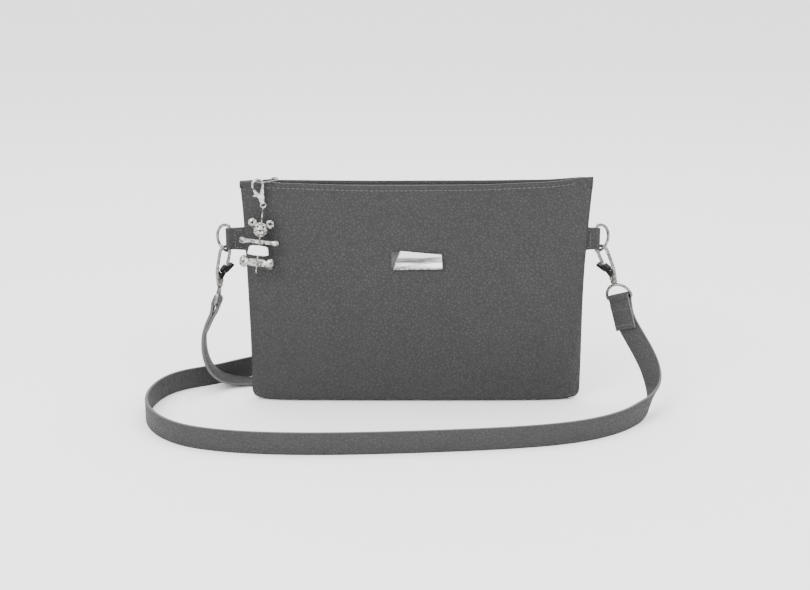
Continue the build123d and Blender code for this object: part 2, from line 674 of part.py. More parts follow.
# Which way the strip's width points at some of those points; between them it turns evenly.
width_at = {0: strap_across["right"], 3: Vector(0.76, -0.3, 0.55), 7: Vector(0, 0, 1),
            32: Vector(0, 0, 1), 34: Vector(0, -1, 0.12), 35: Vector(0, -1, 0),
            39: Vector(0, -1, 0), len(route) - 1: strap_across["left"]}
corners = [Vector(*point) for point in route]
radii, reaches, run = [], [], [0.0]
for before, at, after in zip(corners, corners[1:], corners[2:]):
    turn = radians((at - before).get_angle(after - at))
    reaches.append(0.45 * min((at - before).length, (after - at).length))
    radii.append(reaches[-1] / tan(turn / 2))
    run.append(run[-1] + (at - before).length)
run.append(run[-1] + (corners[-1] - corners[-2]).length)
with BuildLine() as strap_line:
    FilletPolyline(*route, radius=radii)
strap_length = sum(edge.length for edge in strap_line.line.edges())
print("strap radii", [round(r) for r in radii], "length", round(strap_length, 1))
fold_length = 13.0
fold_half = 2.0


def strap_stations():
    """Places along the strap, each with its direction and how far along the points it lies."""
    start_dir = (corners[1] - corners[0]).normalized()
    found = [(corners[0] + start_dir * (eye_r + 1.0), start_dir, eye_r + 1.0)]
    for n, radius in enumerate(radii, 1):
        come = (corners[n] - corners[n - 1]).normalized()
        go = (corners[n + 1] - corners[n]).normalized()
        reach = reaches[n - 1]
        begin = corners[n] - come * reach
        to_centre = (go - come * go.dot(come)).normalized()
        gap = (begin - found[-1][0]).length
        pieces = ceil(gap / 18)
        for k in range(1, pieces):
            found.append((found[-1][0] + come * gap / pieces, come, found[-1][2] + gap / pieces))
        turn = radians(come.get_angle(go))
        steps = max(2, ceil(radius * turn / 9))
        for k in range(steps + 1):
            angle = turn * k / steps
            at = begin + come * (radius * sin(angle)) + to_centre * (radius * (1 - cos(angle)))
            along = come * cos(angle) + to_centre * sin(angle)
            found.append((at, along, run[n] - reach + 2 * reach * k / steps))
    end_dir = (corners[-1] - corners[-2]).normalized()
    found.append((corners[-1] - end_dir * (eye_r + 1.0), end_dir, run[-1]))
    return found


def strap_width_dir(passed, tangent):
    """Direction of the strap's width, square to the strip, so far along the points."""
    keys = sorted(width_at)
    low = max(k for k in keys[:-1] if run[k] <= passed)
    high = min(k for k in keys if k > low)
    share = min(1.0, (passed - run[low]) / (run[high] - run[low]))
    way = width_at[low] * (1 - share) + width_at[high] * share
    return (way - tangent * way.dot(tangent)).normalized()


strips = []
for at, tangent, passed in strap_stations():
    plane = Plane(origin=at, x_dir=strap_width_dir(passed, tangent), z_dir=tangent)
    with BuildSketch(plane) as strip:
        Rectangle(strap_wide, strap_thick)
    strips.append(strip.sketch)

with BuildPart() as strap:
    for n in range(0, len(strips) - 1, 8):
        loft(sections=strips[n:n + 9], ruled=True)
    for bar, along, across in ((right_bar, corners[1] - corners[0], strap_across["right"]),
                               (left_bar, corners[-2] - corners[-1], strap_across["left"])):
        along = along.normalized()
        across = (across - along * across.dot(along)).normalized()
        end = Plane(origin=bar, x_dir=along, z_dir=across)
        around = eye_r + strap_thick
        with BuildSketch(end.offset(-strap_wide / 2 - 0.1)):
            Circle(around)
            with BuildLine():
                Polyline((0.6, -around + 0.06), (0.6, around - 0.06), (9.0, fold_half),
                         (fold_length, fold_half), (fold_length, -fold_half),
                         (9.0, -fold_half), close=True)
            make_face()
            Circle(eye_r, mode=Mode.SUBTRACT)
        extrude(amount=strap_wide + 0.2)
strap.part.label = "strap"
export_step(strap.part, "parts/strap.step")
print("strap volume", round(strap.part.volume), "length x section",
      round(strap_length * strap_wide * strap_thick),
      "lowest", round(strap.part.bounding_box().min.Z, 2))

print("pull start", pull_start, "axis", pull_plane.y_dir, "pull end", pull_end)
print("lever pivot", clasp_plane.from_local_coords(Vector(*lever_pivot, 0)), clasp_plane.z_dir)
print("sway", sway_point, "pin dir", pin_dir, "pin centre", pin_centre)
print("trim face", trim_face, "normal", trim_normal)
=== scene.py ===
import json
from math import ceil, cos, exp, pi, radians, sin, sqrt, tau

import bpy
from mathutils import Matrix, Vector


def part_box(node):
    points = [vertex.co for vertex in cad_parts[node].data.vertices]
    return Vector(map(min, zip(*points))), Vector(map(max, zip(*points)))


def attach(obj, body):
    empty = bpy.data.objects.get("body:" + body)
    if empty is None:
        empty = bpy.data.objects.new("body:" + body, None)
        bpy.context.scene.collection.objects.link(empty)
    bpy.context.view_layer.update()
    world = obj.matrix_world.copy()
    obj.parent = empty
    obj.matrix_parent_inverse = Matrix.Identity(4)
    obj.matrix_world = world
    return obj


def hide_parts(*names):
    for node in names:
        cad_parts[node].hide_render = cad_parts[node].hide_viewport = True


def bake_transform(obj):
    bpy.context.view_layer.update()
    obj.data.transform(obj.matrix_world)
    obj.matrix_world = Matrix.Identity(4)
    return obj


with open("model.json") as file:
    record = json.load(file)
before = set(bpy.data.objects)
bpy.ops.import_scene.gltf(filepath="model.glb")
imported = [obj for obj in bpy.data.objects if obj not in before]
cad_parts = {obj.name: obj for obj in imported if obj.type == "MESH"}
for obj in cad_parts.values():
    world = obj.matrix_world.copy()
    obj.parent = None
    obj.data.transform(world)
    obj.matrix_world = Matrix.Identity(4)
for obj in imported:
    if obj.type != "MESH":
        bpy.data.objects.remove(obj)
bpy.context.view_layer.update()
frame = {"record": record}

MM = 0.001

# ---- camera and room ----
ELEVATION = radians(15)
AIM = Vector((-7.9, 0, 78.3)) * MM
DISTANCE = 1.0
camera_data = bpy.data.cameras.new("camera")
camera_data.lens = 61.7
camera_data.sensor_width = 36
camera = bpy.data.objects.new("camera", camera_data)
camera.location = AIM + Vector((0, -cos(ELEVATION), sin(ELEVATION))) * DISTANCE
camera.rotation_euler = (pi / 2 - ELEVATION, 0, 0)
bpy.context.scene.collection.objects.link(camera)
bpy.context.scene.camera = camera


def joint(name):
    """Anchor and axis of a joint, in the row frame."""
    found = next(j for j in frame["record"]["behaviour"]["joints"] if j["name"] == name)
    return Vector(found.get("pos_m", (0, 0, 0))), Vector(found["axis"]).normalized()


# ---- mesh helpers ----
class Shape:
    """Collects points and faces, and makes them one piece."""

    def __init__(self):
        self.points, self.faces, self.marks = [], [], []

    def add(self, points, faces, mark=0):
        start = len(self.points)
        self.points += [tuple(p) for p in points]
        self.faces += [tuple(start + i for i in face) for face in faces]
        self.marks += [mark] * len(faces)

    def rings(self, rings, mark=0, loop=False, edge_mark=None, edges=()):
        """A skin over rings of equal length, closed at both ends or joined in a loop."""
        count, wide = len(rings), len(rings[0])
        start = len(self.points)
        self.points += [tuple(p) for ring in rings for p in ring]
        for i in range(count if loop else count - 1):
            for k in range(wide):
                a, b = start + i * wide, start + (i + 1) % count * wide
                n = (k + 1) % wide
                self.faces.append((a + k, a + n, b + n, b + k))
                self.marks.append(edge_mark if k in edges else mark)
        if not loop:
            for ring, order in ((rings[0], -1), (rings[-1], 1)):
                self.add(ring, [tuple(range(wide))[::order]], mark if edge_mark is None else edge_mark)

    def ball(self, centre, right, front, up, mark=0, power=1.0, count=16):
        """An ellipsoid on three half axes. A power under 1 makes it squarer."""
        def bent(value):
            return abs(value) ** power * (1 if value >= 0 else -1)
        rings = []
        for i in range(1, count):
            lift = -pi / 2 + pi * i / count
            rings.append([centre + right * (bent(cos(lift)) * bent(cos(tau * k / (2 * count))))
                          + front * (bent(cos(lift)) * bent(sin(tau * k / (2 * count))))
                          + up * bent(sin(lift)) for k in range(2 * count)])
        start = len(self.points)
        wide = 2 * count
        self.points += [tuple(p) for ring in rings for p in ring]
        self.points += [tuple(centre - up), tuple(centre + up)]
        low, high = start + len(rings) * wide, start + len(rings) * wide + 1
        for i in range(len(rings) - 1):
            for k in range(wide):
                a, b, n = start + i * wide, start + (i + 1) * wide, (k + 1) % wide
                self.faces.append((a + k, a + n, b + n, b + k))
                self.marks.append(mark)
        last = start + (len(rings) - 1) * wide
        for k in range(wide):
            n = (k + 1) % wide
            self.faces += [(start + n, start + k, low), (last + k, last + n, high)]
            self.marks += [mark, mark]

    def piece(self, name, body, finishes, slot, replaces=(), ride=True):
        """Makes the mesh, puts it on a body when ride is set and hides the nodes that it stands for. The
        slot argument is not used.
        """
        mesh = bpy.data.meshes.new(name)
        mesh.from_pydata(self.points, [], self.faces)
        for finish in finishes:
            mesh.materials.append(finish)
        mesh.polygons.foreach_set("material_index", self.marks)
        mesh.polygons.foreach_set("use_smooth", [True] * len(self.faces))
        mesh.update()
        made = bpy.data.objects.new(name, mesh)
        bpy.context.scene.collection.objects.link(made)
        if ride:
            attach(made, body)
        if replaces:
            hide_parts(*replaces)
        return made


def section(across, over, half_wide, half_thick, soft):
    """Offsets of a flat bar's outline with soft corners, three points to a corner."""
    soft = min(soft, half_thick * 0.98)
    flat_w, flat_t = half_wide - soft, half_thick - soft
    offsets = []
    middles = ((flat_w, flat_t), (-flat_w, flat_t), (-flat_w, -flat_t), (flat_w, -flat_t))
    for begin, (x, y) in enumerate(middles):
        for k in range(3):
            angle = (begin + k / 2) * pi / 2
            offsets.append(across * (x + soft * cos(angle)) + over * (y + soft * sin(angle)))
    return offsets


EDGE_SIDES = (5, 11, 4, 6, 10, 0)    # sides of that outline which are cut edges of the leather


def along(points):
    """Unit directions of a line at each of its points."""
    last = len(points) - 1
    return [(points[min(i + 1, last)] - points[max(i - 1, 0)]).normalized() for i in range(len(points))]


# ---- finishes ----
class Wire:
    """An output socket that can be used in sums."""

    def __init__(self, finish, socket):
        self.finish, self.socket = finish, socket

    def maths(self, operation, first, second):
        return self.finish.node("Math", {"operation": operation}, {0: first, 1: second})

    def __add__(self, other):
        return self.maths("ADD", self, other)

    def __radd__(self, other):
        return self.maths("ADD", other, self)

    def __sub__(self, other):
        return self.maths("SUBTRACT", self, other)

    def __rsub__(self, other):
        return self.maths("SUBTRACT", other, self)

    def __mul__(self, other):
        return self.maths("MULTIPLY", self, other)

    def __rmul__(self, other):
        return self.maths("MULTIPLY", other, self)


class Finish:
    """A material on one Principled shader."""

    def __init__(self, name, **constants):
        self.material = bpy.data.materials.new(name)
        self.material.use_nodes = True
        self.tree = self.material.node_tree
        self.shader = next(n for n in self.tree.nodes if n.type == "BSDF_PRINCIPLED")
        for socket, value in constants.items():
            self.shader.inputs[socket.replace("_", " ")].default_value = value

    def node(self, kind, settings=None, sockets=None, out=0):
        node = self.tree.nodes.new("ShaderNode" + kind)
        for key, value in (settings or {}).items():
            if key == "stops":
                elements = node.color_ramp.elements
                while len(elements) < len(value):
                    elements.new(0.5)
                for element, (place, shade) in zip(elements, value):
                    element.position, element.color = place, shade
            else:
                setattr(node, key, value)
        for key, value in (sockets or {}).items():
            if isinstance(value, Wire):
                self.tree.links.new(value.socket, node.inputs[key])
            else:
                node.inputs[key].default_value = value
        return Wire(self, node.outputs[out])

    def place(self):
        return self.node("TexCoord", out=3)

    def noise(self, scale, detail=3.0, rough=0.5, stretch=None):
        place = self.place()
        if stretch:
            place = self.node("Mapping", {}, {0: place, 3: stretch})
        return self.node("TexNoise", {}, {0: place, 2: scale, 3: detail, 4: rough})

    def mix(self, factor, first, second):
        return self.node("Mix", {"data_type": "RGBA"}, {0: factor, 6: first, 7: second}, out=2)

    def ramp(self, factor, *stops):
        return self.node("ValToRGB", {"stops": stops}, {0: factor})

    def feed(self, socket, wire):
        self.tree.links.new(wire.socket, self.shader.inputs[socket])

    def bump(self, height, strength, depth):
        sockets = {"Strength": strength, "Distance": depth, "Height": height}
        self.feed("Normal", self.node("Bump", {}, sockets))


def grey(level, warm=0.0):
    return (level * (1 + warm), level, level * (1 - warm), 1.0)


def leather(name, dark, light, grain, rough):
    """Pebbled leather: raised cells, with the creases between them darkened in colour as painted shade,
    mottled slightly.
    """
    finish = Finish(name, Specular_IOR_Level=0.30)
    drift = finish.node("TexNoise", {}, {0: finish.place(), 2: grain * 0.35, 3: 2.0}, out=1)
    offset = finish.node("VectorMath", {"operation": "SCALE"}, {0: drift, 3: 1.2 / grain})
    place = finish.node("VectorMath", {"operation": "ADD"}, {0: finish.place(), 1: offset})
    cells = finish.node("TexVoronoi", {"feature": "DISTANCE_TO_EDGE"}, {"Vector": place, "Scale": grain})
    crease = finish.node("MapRange", {"interpolation_type": "SMOOTHSTEP"}, {0: cells, 1: 0.0, 2: 0.30})
    fine = finish.noise(grain * 3.4, 3.0)
    mottle = finish.noise(60.0, 4.0, 0.6)
    # Painted shade: the creases between the cells are darker; the mottle and fine noise are the leather's
    # own tone.
    shade = finish.ramp(crease * 0.45 + mottle * 0.45 + fine * 0.1, (0.10, dark), (0.85, light))
    finish.feed("Base Color", shade)
    finish.feed("Roughness", rough + 0.16 - 0.18 * crease + 0.10 * mottle)
    finish.bump(crease * 0.85 + fine * 0.15, 0.6, 0.0004)
    return finish.material


def cut_edge(name, colour):
    """Painted cut edge of leather with a dry fibre grain."""
    finish = Finish(name)
    fibre = finish.noise(900.0, 4.0, 0.6)
    finish.feed("Base Color", finish.mix(fibre, grey(colour * 0.72), grey(colour * 1.25)))
    finish.feed("Roughness", 0.55 + 0.25 * fibre)
    finish.bump(fibre, 0.3, 0.0002)
    return finish.material


def cloth(name, colour, scale=1400.0):
    """Plain weave from two crossed waves."""
    finish = Finish(name, Sheen_Weight=0.15)
    warp = finish.node("TexWave", {"bands_direction": "X"}, {0: finish.place(), 1: scale, 2: 1.5}, out=1)
    weft = finish.node("TexWave", {"bands_direction": "Z"}, {0: finish.place(), 1: scale, 2: 1.5}, out=1)
    weave = warp * weft
    finish.feed("Base Color", finish.mix(weave, grey(colour * 0.6), grey(colour * 1.3)))
    finish.feed("Roughness", 0.95 - 0.1 * weave)
    finish.bump(weave, 0.35, 0.0002)
    return finish.material


def metal(name, light, dark, rough, scale=160.0, warm=0.0):
    """Plated metal with brighter and darker patches in its colour: painted reflections, with tarnish in the
    darker ones.
    """
    finish = Finish(name, Metallic=1.0)
    patch = finish.noise(scale, 4.0, 0.6)
    speck = finish.noise(1500.0, 2.0)
    # Brighter and darker patches: painted reflections, together with tarnish.
    reflection_and_tarnish = patch * 0.8 + speck * 0.2
    finish.feed("Base Color", finish.ramp(reflection_and_tarnish, (0.42, grey(dark, warm)), (0.58, grey(light, warm))))
    finish.feed("Roughness", rough + 0.16 * patch + 0.06 * speck)
    finish.bump(patch * 0.7 + speck * 0.15, 0.10, 0.0004)
    return finish.material


def streaked(name):
    """Polished ribbon metal with long dark and light streaks in its colour: painted reflections."""
    finish = Finish(name, Metallic=1.0)
    broad = finish.noise(130.0, 3.0, 0.5, (0.16, 1.0, 1.5))
    thin = finish.noise(420.0, 2.0, 0.5, (0.10, 1.0, 1.2))
    streaks = broad * 0.75 + thin * 0.25
    # The streaks are painted reflections, running from near black to near white.
    shade = finish.ramp(streaks, (0.40, grey(0.14)), (0.47, grey(0.45)), (0.53, grey(0.95)))
    finish.feed("Base Color", shade)
    finish.feed("Roughness", 0.08 + 0.12 * thin)
    finish.bump(broad, 0.15, 0.0004)
    return finish.material


def gloss(name, colour, rough, coat=0.6):
    """Moulded gloss plastic or glaze with faint unevenness."""
    finish = Finish(name, Coat_Weight=coat, Coat_Roughness=0.06)
    wave = finish.noise(90.0, 2.0)
    finish.feed("Base Color", finish.mix(wave, grey(colour * 0.93, 0.01), grey(colour, 0.01)))
    finish.feed("Roughness", rough + 0.08 * wave)
    finish.bump(wave, 0.06, 0.0005)
    return finish.material


def thread(name, colour):
    """Twisted sewing thread."""
    finish = Finish(name, Sheen_Weight=0.2)
    ply = finish.noise(2600.0, 2.0)
    finish.feed("Base Color", finish.mix(ply, grey(colour * 0.7), grey(colour * 1.3)))
    finish.feed("Roughness", 0.6 + 0.2 * ply)
    finish.bump(ply, 0.4, 0.0001)
    return finish.material


BAG_LEATHER = leather("bag_leather", grey(0.015, 0.01), grey(0.029, 0.01), 430.0, 0.53)
STRAP_LEATHER = leather("strap_leather", grey(0.021, 0.01), grey(0.036, 0.01), 520.0, 0.54)
BAG_EDGE = cut_edge("bag_edge", 0.045)
STRAP_EDGE = cut_edge("strap_edge", 0.075)
LINING = cloth("lining_cloth", 0.03)
ZIP_CLOTH = cloth("zip_cloth", 0.025, 2200.0)
ZIP_NYLON = gloss("zip_nylon", 0.035, 0.35, 0.1)
# Each metal below carries painted reflections as brighter and darker patches in its colour, together with
# tarnish.
NICKEL = metal("nickel", 0.28, 0.09, 0.14, 330.0, 0.03)
# Near black metal for the hooks' cheeks and triggers: a painted dark reflection on the silver hook.
DARK_REFLECTION_METAL = metal("gunmetal", 0.05, 0.025, 0.28)
SPRING = metal("spring_steel", 0.55, 0.40, 0.22)
BRIGHT = metal("bright_silver", 0.58, 0.20, 0.10, 420.0)
BASE_SILVER = metal("base_silver", 0.09, 0.05, 0.30)
STREAKED = streaked("streaked_silver")
ANTIQUE = metal("antique_silver", 0.52, 0.07, 0.18, 520.0, 0.02)
BLACKENED = metal("blackened", 0.05, 0.02, 0.45)
BEAD = gloss("white_bead", 0.86, 0.12, 0.9)
THREAD = thread("dark_thread", 0.055)

# ---- strap ----
STRAP_WIDE, STRAP_THICK, EYE = 15.5 * MM, 2.2 * MM, 1.35 * MM
right_bar, left_bar = Vector((148.177, 6.753, 74.263)), Vector((-144.370, 6.629, 71.783))
ROUTE = [
    tuple(right_bar), (150.91, 3.31, 60.45), (157.5, -2.5, 49.0), (164.5, -8.0, 37.5),
    (169.5, -15.5, 26.5), (170.0, -27.0, 16.5), (165.0, -39.5, 9.6), (155.0, -54.0, 7.75),
    (139.0, -73.0, 7.75), (112.0, -90.0, 7.75), (72.5, -101.0, 7.75), (8.6, -109.0, 7.75),
    (-57.0, -113.5, 7.75), (-103.0, -112.0, 7.75), (-133.0, -106.5, 7.75), (-157.0, -97.0, 7.75),
    (-174.0, -81.0, 7.75), (-185.5, -61.0, 7.75), (-191.0, -38.0, 7.75), (-190.0, -14.0, 7.75),
    (-184.0, 6.0, 7.75), (-173.5, 19.0, 7.75), (-161.0, 26.5, 7.75), (-148.0, 34.0, 7.75),
    (-131.0, 49.0, 7.75), (-92.0, 76.0, 7.75), (-42.0, 101.0, 7.75), (8.0, 116.0, 7.75),
    (48.0, 117.0, 7.75), (75.0, 98.0, 7.75), (79.0, 70.0, 7.75), (60.0, 46.0, 7.75),
    (20.0, 38.0, 7.75), (-35.0, 37.0, 8.0), (-88.0, 35.5, 2.4), (-120.0, 34.0, 1.3),
    (-137.0, 30.0, 3.6), (-147.0, 21.0, 10.0), (-153.5, 13.5, 21.0), (-156.0, 9.0, 37.0),
    (-153.6, 7.6, 55.0), tuple(left_bar),
]
ACROSS_RIGHT, ACROSS_LEFT = Vector((0.80673, -0.516025, 0.287933)), Vector((-0.016694, -0.996195, -0.085542))
WIDTH_AT = {0: ACROSS_RIGHT, 3: Vector((0.76, -0.3, 0.55)), 7: Vector((0, 0, 1)), 32: Vector((0, 0, 1)),
            34: Vector((0, -1, 0.12)), 35: Vector((0, -1, 0)), 39: Vector((0, -1, 0)),
            len(ROUTE) - 1: ACROSS_LEFT}

route_data = bpy.data.curves.new("route", "CURVE")
route_data.dimensions = "3D"
spline = route_data.splines.new("NURBS")
spline.points.add(len(ROUTE) - 1)
for point, place in zip(spline.points, ROUTE):
    point.co = (*(Vector(place) * MM), 1)
spline.order_u = 3
spline.use_endpoint_u = True
spline.resolution_u = 10
route_object = bpy.data.objects.new("route", route_data)
bpy.context.scene.collection.objects.link(route_object)
route_mesh = bpy.data.meshes.new_from_object(route_object)
line = [v.co.copy() for v in route_mesh.vertices]
bpy.data.objects.remove(route_object)
run = [0.0]
for a, b in zip(line, line[1:]):
    run.append(run[-1] + (b - a).length)
heading = along(line)
marks = {key: run[min(range(len(line)), key=lambda i: (line[i] - Vector(ROUTE[key]) * MM).length)]
         for key in WIDTH_AT}


def strap_frame(distance):
    """Place, direction and width direction of the strap at a distance along it."""
    i = max(k for k in range(len(run) - 1) if run[k] <= distance)
    share = (distance - run[i]) / (run[i + 1] - run[i])
    at = line[i].lerp(line[i + 1], share)
    way = heading[i].lerp(heading[i + 1], share).normalized()
    keys = sorted(marks)
    low = max(k for k in keys[:-1] if marks[k] <= distance)
    high = min(k for k in keys if k > low)
    blend = (distance - marks[low]) / (marks[high] - marks[low])
    wide = WIDTH_AT[low].lerp(WIDTH_AT[high], blend)
    return at, way, (wide - way * wide.dot(way)).normalized()


def strap_piece(name, begin, end, step, bodies, replaces=()):
    """A length of the strap. With one body it rides on that body; with two bodies it is put on none."""
    count = max(4, ceil((end - begin) / step))
    rings, path = [], []
    for k in range(count + 1):
        at, way, wide = strap_frame(begin + (end - begin) * k / count)
        over = way.cross(wide)
        rings.append([at + p for p in section(wide, over, STRAP_WIDE / 2, STRAP_THICK / 2, 0.55 * MM)])
        path.append(at)
    shape = Shape()
    shape.rings(rings, 0, edge_mark=1, edges=EDGE_SIDES)
    made = shape.piece(name, bodies[0], [STRAP_LEATHER, STRAP_EDGE], "strap_leather", replaces,
                       ride=len(bodies) == 1)
    if len(bodies) == 2:
        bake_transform(made)
    return made, path


total = run[-1]
ENDS = (14 * MM, 34 * MM, 44 * MM, 57 * MM)
strap, strap_path = strap_piece("strap_run", ENDS[3], total - ENDS[3], 4 * MM, ["bag"], ["strap"])
for side in ("right", "left"):
    chain = [f"swivel_{side}", f"hook_{side}", f"ring_{side}", "bag"]
    for k in range(3):
        near, far = ENDS[k], ENDS[k + 1]
        if side == "right":
            strap_piece(f"strap_{side}_{k}", near, far, 1.5 * MM, [chain[k], chain[k + 1]])
        else:
            strap_piece(f"strap_{side}_{k}", total - far, total - near, 1.5 * MM, [chain[k + 1], chain[k]])


def strap_fold(side, bar, other, over_way):
    """The sewn fold round a swivel loop's bar: round the wire, with a flap lying on the strap."""
    out = (other - bar).normalized()
    wide = ACROSS_RIGHT if side == "right" else ACROSS_LEFT
    wide = (wide - out * wide.dot(out)).normalized()
    over = out.cross(wide)
    if over.dot(over_way) < 0:
        over = -over
    radius = EYE + STRAP_THICK / 2
    lift = STRAP_THICK * 1.02
    outline = [(23.0 * MM, lift), (16 * MM, lift), (9 * MM, lift), (5 * MM, lift + 0.5 * MM)]
    outline += [(radius * cos(radians(a)), radius * sin(radians(a))) for a in range(50, 311, 20)]
    outline += [(5 * MM, -0.9 * MM), (9 * MM, -0.1 * MM), (14.6 * MM, 0.0)]
    points = [bar + out * x + over * y for x, y in outline]
    ways = along(points)
    shape = Shape()
    shape.rings([[at + p for p in section(wide, way.cross(wide), STRAP_WIDE / 2, STRAP_THICK / 2, 0.55 * MM)]
                 for at, way in zip(points, ways)], 0, edge_mark=1, edges=EDGE_SIDES)
    shape.piece(f"strap_fold_{side}", f"swivel_{side}", [STRAP_LEATHER, STRAP_EDGE], "strap_leather")
    seam = Shape()
    for row in (8.4 * MM, 19.8 * MM):
        for k in range(6):
            shift = (k - 2.5) * 2.2 * MM
            at = bar + out * row + over * (lift + STRAP_THICK / 2) + wide * shift
            seam.ball(at, wide * 0.85 * MM, out * 0.25 * MM, over * 0.2 * MM, count=6)
    seam.piece(f"strap_stitches_{side}", f"swivel_{side}", [THREAD], "strap_leather")


strap_fold("right", line[0], line[5], Vector((0.2, -1, 0.2)))
strap_fold("left", line[-1], line[-6], Vector((1, 0, 0)))

# ---- bag ----
BAG_HIGH, BELLY, MOUTH, FOOT = 161.0, 14.0, 6.5, 6.5
BELLY_AT, CORNER, SKIN = 0.35, 8.0, 1.5
TAB_AT = 120.0


def depth_at(height):
    """Half depth of the bag: out from the foot to the belly, then in to the mouth."""
    share = min(1.0, max(0.0, height / BAG_HIGH))
    if share < BELLY_AT:
        return FOOT + (BELLY - FOOT) * sqrt(1 - (1 - share / BELLY_AT) ** 2)
    return MOUTH + (BELLY - MOUTH) * (cos(pi * (share - BELLY_AT) / (1 - BELLY_AT)) + 1) / 2


def width_at(height):
    """Half width of the bag, with round lower corners and a flare to the top."""
    below = max(0.0, CORNER - height)
    flare = 4.75 * min(1.0, height / BAG_HIGH) ** 3
    return 119.75 + flare - CORNER + sqrt(CORNER ** 2 - below ** 2)


def top_at(x, front):
    """Height of the top edge: it sags left of the middle and lifts towards the right end."""
    sag = 2.6 * exp(-((x + 22) / 62) ** 2) + 1.0 * exp(-((x - 45) / 30) ** 2)
    lift = 3.0 * exp(-((x - 114) / 17) ** 2)
    if front:
        return BAG_HIGH + 0.75 - sag + lift
    return BAG_HIGH + 0.6 - 0.35 * sag + 0.7 * lift


def slack(x, height, side):
    """Soft hollows and swells of the leather, in mm outwards."""
    fade = min(1.0, height / 25) * min(1.0, (BAG_HIGH - height) / 18 + 0.15)
    wave = 0.9 * sin(x / 31 + 0.6 * side) * sin(height / 37 + 1.1) + 0.55 * sin(x / 17 - height / 29 + side)
    press = -1.2 * exp(-((x + 100) / 30) ** 2 - ((height - 60) / 45) ** 2)
    return max(-0.8, wave + press) * fade


def panel_point(u, v, side, inset):
    """A point of a panel: u from -1 to 1 across, v from 0 at the middle of the foot to 1 at the mouth."""
    foot_share = 0.05
    if v < foot_share:
        height, reach = 0.0, v / foot_share
    else:
        height, reach = (v - foot_share) / (1 - foot_share), 1.0
    top = top_at(u * 118, side < 0)
    z = height ** 1.12 * top
    bottom_wave = 0.35 * sin(u * 9) + 0.25 * sin(u * 21 + 1)
    x = u * width_at(z) + 0.25 * sin(z / 19) * abs(u)
    edge = (width_at(z) - abs(x))
    rise = 1 - exp(-edge / 9.0)
    crown = 0.86 + 0.14 * (1 - u * u)
    deep = depth_at(z) * crown + slack(x, z, side) * rise
    seam = 1.52 + 1.2 * exp(-((z - TAB_AT) / 10.5) ** 4)
    y = seam + (deep - seam) * rise - inset
    under = max(0.0, 1 - z / 3.0)
    y = max(0.02, y * reach)
    roll = 1.1 * under * under * reach ** 6 + max(0.0, bottom_wave) * 0.5 * under * reach
    return Vector((x, side * y, z + roll + inset * (1 if z < 4 else 0))) * MM


def panel(name, side, node):
    """One leather half of the bag: an outer and an inner skin, joined round the rim by a cut edge."""
    across, up = 130, 84
    us = [sin(-pi / 2 + pi * i / across) * 0.35 + (-1 + 2 * i / across) * 0.65 for i in range(across + 1)]
    outer = [[panel_point(u, j / up, side, 0.0) for u in us] for j in range(up + 1)]
    inner = [[panel_point(u, j / up, side, SKIN) for u in us] for j in range(up + 1)]
    shape = Shape()
    wide = across + 1
    count = wide * (up + 1)
    points = [p for row in outer for p in row] + [p for row in inner for p in row]
    faces, edges = [], []
    for j in range(up):
        for i in range(across):
            a = j * wide + i
            quad = (a, a + 1, a + 1 + wide, a + wide)
            back = tuple(count + k for k in reversed(quad))
            faces += [quad, back] if side < 0 else [quad[::-1], back[::-1]]
    rim = [i for i in range(wide)] + [j * wide + across for j in range(1, up + 1)] \
        + [up * wide + i for i in reversed(range(across))] + [j * wide for j in reversed(range(1, up))]
    for a, b in zip(rim, rim[1:] + rim[:1]):
        quad = (b, a, count + a, count + b)
        edges.append(quad if side < 0 else quad[::-1])
    shape.add(points, faces, 0)
    shape.add([], [tuple(i - count * 2 for i in face) for face in edges], 1)
    shape.piece(name, "bag", [BAG_LEATHER, BAG_EDGE], "bag_leather", [node])


panel("front_leather", -1, "front_panel")
panel("back_leather", 1, "back_panel")


def stitch_row(shape, points, normals, length=2.7 * MM, gap=0.75 * MM):
    """Saddle stitches of equal length lying along a line, each with its normal."""
    marks = [0.0]
    for a, b in zip(points, points[1:]):
        marks.append(marks[-1] + (b - a).length)
    count = int(marks[-1] // (length + gap))
    for k in range(count):
        middle = (k + 0.5) * (length + gap)
        i = max(n for n in range(len(marks) - 1) if marks[n] <= middle)
        share = (middle - marks[i]) / (marks[i + 1] - marks[i])
        at, normal = points[i].lerp(points[i + 1], share), normals[i]
        way = (points[i + 1] - points[i]).normalized()
        shape.ball(at, way * length / 2, way.cross(normal) * 0.27 * MM, normal * 0.22 * MM,
                   power=0.8, count=6)


def panel_stitches(name, side):
    """The row of stitches under the mouth, which holds the zip."""
    shape = Shape()
    us = [-0.905 + 1.81 * i / 90 for i in range(91)]
    v = 0.981
    points = [panel_point(u, v, side, -0.08) for u in us]
    stitch_row(shape, points, [Vector((0, side, 0.06)).normalized()] * len(points))
    shape.piece(name, "bag", [THREAD], "bag_leather")


panel_stitches("front_stitches", -1)
panel_stitches("back_stitches", 1)


